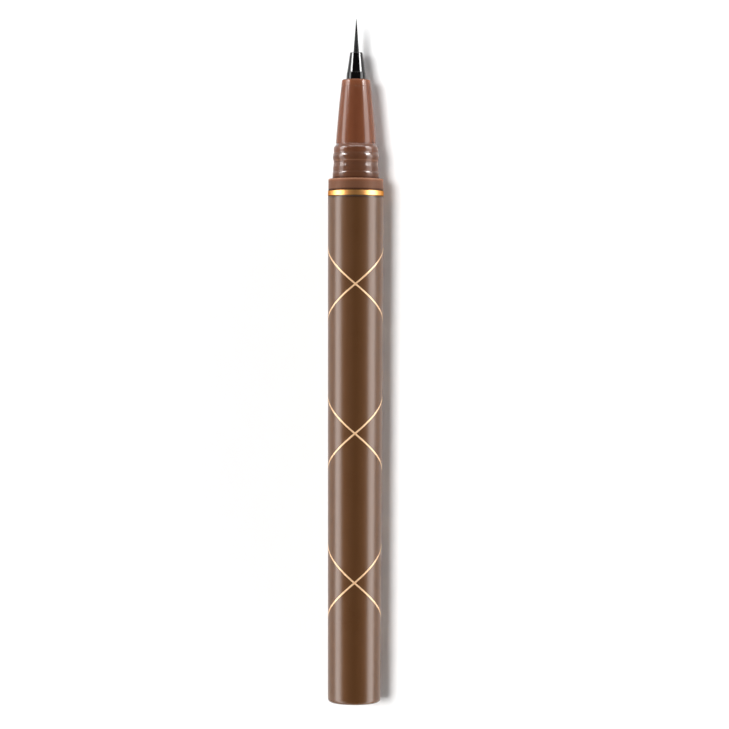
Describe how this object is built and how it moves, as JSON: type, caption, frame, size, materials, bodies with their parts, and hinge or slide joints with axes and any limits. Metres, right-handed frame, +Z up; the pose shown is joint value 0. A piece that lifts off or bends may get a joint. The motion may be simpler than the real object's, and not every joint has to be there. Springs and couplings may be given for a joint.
{
  "type": "liquid eyeliner pen",
  "caption": "Slim liquid eyeliner pen without cap, lying on its side: satin tapered barrel with tank and comb collector, gloss front section, gold trim ring, black nose and fine pointed brush.",
  "frame": {"origin": "point of the table under the middle of the lying pen", "axes": "+Y along the pen towards the brush, +Z up, +X to the right when the brush points away"},
  "size_m": [0.0104, 0.129, 0.0105],
  "materials": {
    "barrel_plastic": "satin moulded brown",
    "plug_plastic": "satin moulded brown",
    "ball_steel": "polished steel",
    "collector_plastic": "natural white moulding",
    "wick_fibre": "bonded fibre soaked with liquid",
    "gold_plating": "bright plated gold",
    "section_plastic": "gloss moulded red-brown",
    "nose_plastic": "gloss black",
    "retainer_plastic": "natural white moulding",
    "brush_fibre": "dark tapered filaments"
  },
  "bodies": {
    "pen": {"barrel": "barrel_plastic", "tail_plug": "plug_plastic", "collector": "collector_plastic", "wick": "wick_fibre", "trim_ring": "gold_plating", "front_section": "section_plastic", "brush_holder": "nose_plastic", "brush_retainer": "retainer_plastic", "brush_tip": "brush_fibre"},
    "ball": {"mixing_ball": "ball_steel"}
  },
  "joints": [
    {"name": "ball_slide", "type": "slide", "parent": "pen", "child": "ball", "axis": [0, 1, 0], "range_m": [0, 0.0409]}
  ]
}
